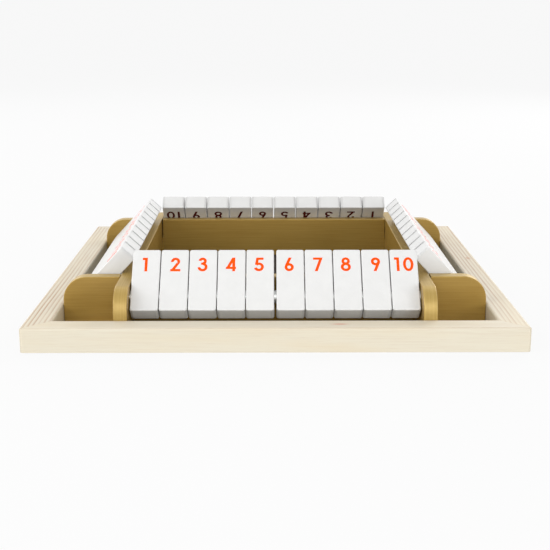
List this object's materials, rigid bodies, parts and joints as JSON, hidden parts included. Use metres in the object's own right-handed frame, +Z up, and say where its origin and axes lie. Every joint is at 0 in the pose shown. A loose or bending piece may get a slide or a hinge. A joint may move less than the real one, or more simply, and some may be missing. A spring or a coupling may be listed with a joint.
{
  "type": "shut the box game",
  "caption": "Square tabletop dice game: wooden tray, felted dice box, and a row of numbered tiles on a rod along each side that turn over from standing to laid down.",
  "frame": {"origin": "centre of the underside, on the surface that the tray stands on", "axes": "+Z up; -Y towards the player at the front; +X to that player's right"},
  "size_m": [0.301, 0.301, 0.0499],
  "materials": {
    "natural_wood": "pale straight-grained wood, satin",
    "gold_paint": "wood with satin gold paint that shows fine straight brush lines",
    "steel": "bright drawn rod",
    "tile_white": "satin white",
    "felt": "short black-brown felt",
    "die": "glossy white with dark pips"
  },
  "bodies": {
    "root": {"tray_rail_front": "natural_wood", "tray_rail_right": "natural_wood", "tray_rail_back": "natural_wood", "tray_rail_left": "natural_wood", "base_panel": "natural_wood", "felt_mat": "felt", "rack_board_front": "gold_paint", "rack_board_right": "gold_paint", "rack_board_back": "gold_paint", "rack_board_left": "gold_paint", "rod_front": "steel", "rod_right": "steel", "rod_back": "steel", "rod_left": "steel"},
    "tile_front_1": {"tile_front_1": "tile_white"},
    "tile_front_2": {"tile_front_2": "tile_white"},
    "tile_front_3": {"tile_front_3": "tile_white"},
    "tile_front_4": {"tile_front_4": "tile_white"},
    "tile_front_5": {"tile_front_5": "tile_white"},
    "tile_front_6": {"tile_front_6": "tile_white"},
    "tile_front_7": {"tile_front_7": "tile_white"},
    "tile_front_8": {"tile_front_8": "tile_white"},
    "tile_front_9": {"tile_front_9": "tile_white"},
    "tile_front_10": {"tile_front_10": "tile_white"},
    "tile_right_1": {"tile_right_1": "tile_white"},
    "tile_right_2": {"tile_right_2": "tile_white"},
    "tile_right_3": {"tile_right_3": "tile_white"},
    "tile_right_4": {"tile_right_4": "tile_white"},
    "tile_right_5": {"tile_right_5": "tile_white"},
    "tile_right_6": {"tile_right_6": "tile_white"},
    "tile_right_7": {"tile_right_7": "tile_white"},
    "tile_right_8": {"tile_right_8": "tile_white"},
    "tile_right_9": {"tile_right_9": "tile_white"},
    "tile_right_10": {"tile_right_10": "tile_white"},
    "tile_back_1": {"tile_back_1": "tile_white"},
    "tile_back_2": {"tile_back_2": "tile_white"},
    "tile_back_3": {"tile_back_3": "tile_white"},
    "tile_back_4": {"tile_back_4": "tile_white"},
    "tile_back_5": {"tile_back_5": "tile_white"},
    "tile_back_6": {"tile_back_6": "tile_white"},
    "tile_back_7": {"tile_back_7": "tile_white"},
    "tile_back_8": {"tile_back_8": "tile_white"},
    "tile_back_9": {"tile_back_9": "tile_white"},
    "tile_back_10": {"tile_back_10": "tile_white"},
    "tile_left_1": {"tile_left_1": "tile_white"},
    "tile_left_2": {"tile_left_2": "tile_white"},
    "tile_left_3": {"tile_left_3": "tile_white"},
    "tile_left_4": {"tile_left_4": "tile_white"},
    "tile_left_5": {"tile_left_5": "tile_white"},
    "tile_left_6": {"tile_left_6": "tile_white"},
    "tile_left_7": {"tile_left_7": "tile_white"},
    "tile_left_8": {"tile_left_8": "tile_white"},
    "tile_left_9": {"tile_left_9": "tile_white"},
    "tile_left_10": {"tile_left_10": "tile_white"},
    "die_1": {"die_1": "die"},
    "die_2": {"die_2": "die"}
  },
  "joints": [
    {"name": "turn_front_1", "type": "hinge", "parent": "root", "child": "tile_front_1", "pos_m": [-0.07992, -0.11375, 0.02406], "axis": [1, 0, 0], "range_deg": [0, 138.7]},
    {"name": "turn_front_2", "type": "hinge", "parent": "root", "child": "tile_front_2", "pos_m": [-0.06227, -0.11375, 0.02406], "axis": [1, 0, 0], "range_deg": [0, 138.7]},
    {"name": "turn_front_3", "type": "hinge", "parent": "root", "child": "tile_front_3", "pos_m": [-0.04462, -0.11375, 0.02406], "axis": [1, 0, 0], "range_deg": [0, 138.7]},
    {"name": "turn_front_4", "type": "hinge", "parent": "root", "child": "tile_front_4", "pos_m": [-0.02697, -0.11375, 0.02406], "axis": [1, 0, 0], "range_deg": [0, 138.7]},
    {"name": "turn_front_5", "type": "hinge", "parent": "root", "child": "tile_front_5", "pos_m": [-0.00932, -0.11375, 0.02406], "axis": [1, 0, 0], "range_deg": [0, 138.7]},
    {"name": "turn_front_6", "type": "hinge", "parent": "root", "child": "tile_front_6", "pos_m": [0.00932, -0.11375, 0.02406], "axis": [1, 0, 0], "range_deg": [0, 138.7]},
    {"name": "turn_front_7", "type": "hinge", "parent": "root", "child": "tile_front_7", "pos_m": [0.02697, -0.11375, 0.02406], "axis": [1, 0, 0], "range_deg": [0, 138.7]},
    {"name": "turn_front_8", "type": "hinge", "parent": "root", "child": "tile_front_8", "pos_m": [0.04462, -0.11375, 0.02406], "axis": [1, 0, 0], "range_deg": [0, 138.7]},
    {"name": "turn_front_9", "type": "hinge", "parent": "root", "child": "tile_front_9", "pos_m": [0.06227, -0.11375, 0.02406], "axis": [1, 0, 0], "range_deg": [0, 138.7]},
    {"name": "turn_front_10", "type": "hinge", "parent": "root", "child": "tile_front_10", "pos_m": [0.07992, -0.11375, 0.02406], "axis": [1, 0, 0], "range_deg": [0, 138.7]},
    {"name": "turn_right_1", "type": "hinge", "parent": "root", "child": "tile_right_1", "pos_m": [0.11375, -0.07992, 0.02406], "axis": [0, 1, 0], "range_deg": [0, 138.7]},
    {"name": "turn_right_2", "type": "hinge", "parent": "root", "child": "tile_right_2", "pos_m": [0.11375, -0.06216, 0.02406], "axis": [0, 1, 0], "range_deg": [0, 138.7]},
    {"name": "turn_right_3", "type": "hinge", "parent": "root", "child": "tile_right_3", "pos_m": [0.11375, -0.0444, 0.02406], "axis": [0, 1, 0], "range_deg": [0, 138.7]},
    {"name": "turn_right_4", "type": "hinge", "parent": "root", "child": "tile_right_4", "pos_m": [0.11375, -0.02664, 0.02406], "axis": [0, 1, 0], "range_deg": [0, 138.7]},
    {"name": "turn_right_5", "type": "hinge", "parent": "root", "child": "tile_right_5", "pos_m": [0.11375, -0.00888, 0.02406], "axis": [0, 1, 0], "range_deg": [0, 138.7]},
    {"name": "turn_right_6", "type": "hinge", "parent": "root", "child": "tile_right_6", "pos_m": [0.11375, 0.00888, 0.02406], "axis": [0, 1, 0], "range_deg": [0, 138.7]},
    {"name": "turn_right_7", "type": "hinge", "parent": "root", "child": "tile_right_7", "pos_m": [0.11375, 0.02664, 0.02406], "axis": [0, 1, 0], "range_deg": [0, 138.7]},
    {"name": "turn_right_8", "type": "hinge", "parent": "root", "child": "tile_right_8", "pos_m": [0.11375, 0.0444, 0.02406], "axis": [0, 1, 0], "range_deg": [0, 138.7]},
    {"name": "turn_right_9", "type": "hinge", "parent": "root", "child": "tile_right_9", "pos_m": [0.11375, 0.06216, 0.02406], "axis": [0, 1, 0], "range_deg": [0, 138.7]},
    {"name": "turn_right_10", "type": "hinge", "parent": "root", "child": "tile_right_10", "pos_m": [0.11375, 0.07992, 0.02406], "axis": [0, 1, 0], "range_deg": [0, 138.7]},
    {"name": "turn_back_1", "type": "hinge", "parent": "root", "child": "tile_back_1", "pos_m": [0.07992, 0.11375, 0.02406], "axis": [-1, 0, 0], "range_deg": [0, 138.7]},
    {"name": "turn_back_2", "type": "hinge", "parent": "root", "child": "tile_back_2", "pos_m": [0.06216, 0.11375, 0.02406], "axis": [-1, 0, 0], "range_deg": [0, 138.7]},
    {"name": "turn_back_3", "type": "hinge", "parent": "root", "child": "tile_back_3", "pos_m": [0.0444, 0.11375, 0.02406], "axis": [-1, 0, 0], "range_deg": [0, 138.7]},
    {"name": "turn_back_4", "type": "hinge", "parent": "root", "child": "tile_back_4", "pos_m": [0.02664, 0.11375, 0.02406], "axis": [-1, 0, 0], "range_deg": [0, 138.7]},
    {"name": "turn_back_5", "type": "hinge", "parent": "root", "child": "tile_back_5", "pos_m": [0.00888, 0.11375, 0.02406], "axis": [-1, 0, 0], "range_deg": [0, 138.7]},
    {"name": "turn_back_6", "type": "hinge", "parent": "root", "child": "tile_back_6", "pos_m": [-0.00888, 0.11375, 0.02406], "axis": [-1, 0, 0], "range_deg": [0, 138.7]},
    {"name": "turn_back_7", "type": "hinge", "parent": "root", "child": "tile_back_7", "pos_m": [-0.02664, 0.11375, 0.02406], "axis": [-1, 0, 0], "range_deg": [0, 138.7]},
    {"name": "turn_back_8", "type": "hinge", "parent": "root", "child": "tile_back_8", "pos_m": [-0.0444, 0.11375, 0.02406], "axis": [-1, 0, 0], "range_deg": [0, 138.7]},
    {"name": "turn_back_9", "type": "hinge", "parent": "root", "child": "tile_back_9", "pos_m": [-0.06216, 0.11375, 0.02406], "axis": [-1, 0, 0], "range_deg": [0, 138.7]},
    {"name": "turn_back_10", "type": "hinge", "parent": "root", "child": "tile_back_10", "pos_m": [-0.07992, 0.11375, 0.02406], "axis": [-1, 0, 0], "range_deg": [0, 138.7]},
    {"name": "turn_left_1", "type": "hinge", "parent": "root", "child": "tile_left_1", "pos_m": [-0.11375, 0.07992, 0.02406], "axis": [0, -1, 0], "range_deg": [0, 138.7]},
    {"name": "turn_left_2", "type": "hinge", "parent": "root", "child": "tile_left_2", "pos_m": [-0.11375, 0.06216, 0.02406], "axis": [0, -1, 0], "range_deg": [0, 138.7]},
    {"name": "turn_left_3", "type": "hinge", "parent": "root", "child": "tile_left_3", "pos_m": [-0.11375, 0.0444, 0.02406], "axis": [0, -1, 0], "range_deg": [0, 138.7]},
    {"name": "turn_left_4", "type": "hinge", "parent": "root", "child": "tile_left_4", "pos_m": [-0.11375, 0.02664, 0.02406], "axis": [0, -1, 0], "range_deg": [0, 138.7]},
    {"name": "turn_left_5", "type": "hinge", "parent": "root", "child": "tile_left_5", "pos_m": [-0.11375, 0.00888, 0.02406], "axis": [0, -1, 0], "range_deg": [0, 138.7]},
    {"name": "turn_left_6", "type": "hinge", "parent": "root", "child": "tile_left_6", "pos_m": [-0.11375, -0.00888, 0.02406], "axis": [0, -1, 0], "range_deg": [0, 138.7]},
    {"name": "turn_left_7", "type": "hinge", "parent": "root", "child": "tile_left_7", "pos_m": [-0.11375, -0.02664, 0.02406], "axis": [0, -1, 0], "range_deg": [0, 138.7]},
    {"name": "turn_left_8", "type": "hinge", "parent": "root", "child": "tile_left_8", "pos_m": [-0.11375, -0.0444, 0.02406], "axis": [0, -1, 0], "range_deg": [0, 138.7]},
    {"name": "turn_left_9", "type": "hinge", "parent": "root", "child": "tile_left_9", "pos_m": [-0.11375, -0.06216, 0.02406], "axis": [0, -1, 0], "range_deg": [0, 138.7]},
    {"name": "turn_left_10", "type": "hinge", "parent": "root", "child": "tile_left_10", "pos_m": [-0.11375, -0.07992, 0.02406], "axis": [0, -1, 0], "range_deg": [0, 138.7]},
    {"name": "lift_die_1", "type": "slide", "parent": "root", "child": "die_1", "axis": [0, 0, 1], "range_m": [0, 0.06]},
    {"name": "lift_die_2", "type": "slide", "parent": "root", "child": "die_2", "axis": [0, 0, 1], "range_m": [0, 0.06]}
  ]
}
